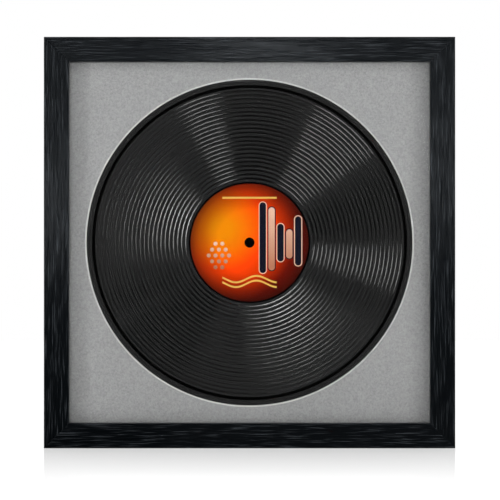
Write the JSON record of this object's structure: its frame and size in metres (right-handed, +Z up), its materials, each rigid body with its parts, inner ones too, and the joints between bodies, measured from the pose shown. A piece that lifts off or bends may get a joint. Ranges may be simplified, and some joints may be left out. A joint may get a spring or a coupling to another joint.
{
  "type": "vinyl record frame",
  "caption": "Square black wood frame that displays a record in a grey round-window mount, with turn buttons and ring hangers behind.",
  "frame": {"origin": "middle of the bottom rail's underside, half-way through the rails' depth", "axes": "+Z up, -Y out of the front, +X to the right as seen from the front"},
  "size_m": [0.3742, 0.027, 0.3742],
  "materials": {
    "rail_black": "black open-grain, satin",
    "nail_steel": "bare steel strip",
    "glazing_clear": "clear acrylic",
    "mount_grey": "matt grey board, white core",
    "record_black": "pressed vinyl, gloss",
    "label_paper": "printed paper, amber to dark red",
    "carrier_white": "white foam-centred board",
    "card_black": "black card",
    "filler_brown": "corrugated board",
    "panel_brown": "fibreboard, plain",
    "screw_zinc": "zinc plated",
    "button_nickel": "nickel plated",
    "hanger_nickel": "nickel plated",
    "bumper_rubber": "matt black rubber"
  },
  "bodies": {
    "frame": {"rail_top": "rail_black", "rail_bottom": "rail_black", "rail_left": "rail_black", "rail_right": "rail_black", "corner_v_nails": "nail_steel", "glazing_sheet": "glazing_clear", "mount_board": "mount_grey", "record_disc": "record_black", "label_front": "label_paper", "label_back": "label_paper", "record_carrier": "carrier_white", "backing_card": "card_black", "filler_board": "filler_brown", "back_panel": "panel_brown", "turn_button_screws": "screw_zinc", "hanger_strap_left": "hanger_nickel", "hanger_strap_right": "hanger_nickel", "hanger_screws": "screw_zinc", "bumper_left": "bumper_rubber", "bumper_right": "bumper_rubber"},
    "turn_button_top_left": {"turn_button_top_left": "button_nickel"},
    "turn_button_bottom_left": {"turn_button_bottom_left": "button_nickel"},
    "turn_button_top_right": {"turn_button_top_right": "button_nickel"},
    "turn_button_bottom_right": {"turn_button_bottom_right": "button_nickel"},
    "turn_button_left_lower": {"turn_button_left_lower": "button_nickel"},
    "turn_button_right_lower": {"turn_button_right_lower": "button_nickel"},
    "turn_button_left_upper": {"turn_button_left_upper": "button_nickel"},
    "turn_button_right_upper": {"turn_button_right_upper": "button_nickel"},
    "hanger_ring_left": {"hanger_ring_left": "hanger_nickel"},
    "hanger_ring_right": {"hanger_ring_right": "hanger_nickel"}
  },
  "joints": [
    {"name": "turn_top_left", "type": "hinge", "parent": "frame", "child": "turn_button_top_left", "pos_m": [-0.085, 0.01105, 0.3661], "axis": [0, 1, 0], "range_deg": [-90, 90]},
    {"name": "turn_bottom_left", "type": "hinge", "parent": "frame", "child": "turn_button_bottom_left", "pos_m": [-0.085, 0.01105, 0.0081], "axis": [0, 1, 0], "range_deg": [-90, 90]},
    {"name": "turn_top_right", "type": "hinge", "parent": "frame", "child": "turn_button_top_right", "pos_m": [0.085, 0.01105, 0.3661], "axis": [0, 1, 0], "range_deg": [-90, 90]},
    {"name": "turn_bottom_right", "type": "hinge", "parent": "frame", "child": "turn_button_bottom_right", "pos_m": [0.085, 0.01105, 0.0081], "axis": [0, 1, 0], "range_deg": [-90, 90]},
    {"name": "turn_left_lower", "type": "hinge", "parent": "frame", "child": "turn_button_left_lower", "pos_m": [-0.179, 0.01105, 0.1271], "axis": [0, 1, 0], "range_deg": [-90, 90]},
    {"name": "turn_right_lower", "type": "hinge", "parent": "frame", "child": "turn_button_right_lower", "pos_m": [0.179, 0.01105, 0.1271], "axis": [0, 1, 0], "range_deg": [-90, 90]},
    {"name": "turn_left_upper", "type": "hinge", "parent": "frame", "child": "turn_button_left_upper", "pos_m": [-0.179, 0.01105, 0.2471], "axis": [0, 1, 0], "range_deg": [-90, 90]},
    {"name": "turn_right_upper", "type": "hinge", "parent": "frame", "child": "turn_button_right_upper", "pos_m": [0.179, 0.01105, 0.2471], "axis": [0, 1, 0], "range_deg": [-90, 90]},
    {"name": "ring_swing_left", "type": "hinge", "parent": "frame", "child": "hanger_ring_left", "pos_m": [-0.179, 0.0132, 0.3023], "axis": [1, 0, 0], "range_deg": [0, 173]},
    {"name": "ring_swing_right", "type": "hinge", "parent": "frame", "child": "hanger_ring_right", "pos_m": [0.179, 0.0132, 0.3023], "axis": [1, 0, 0], "range_deg": [0, 173]}
  ]
}
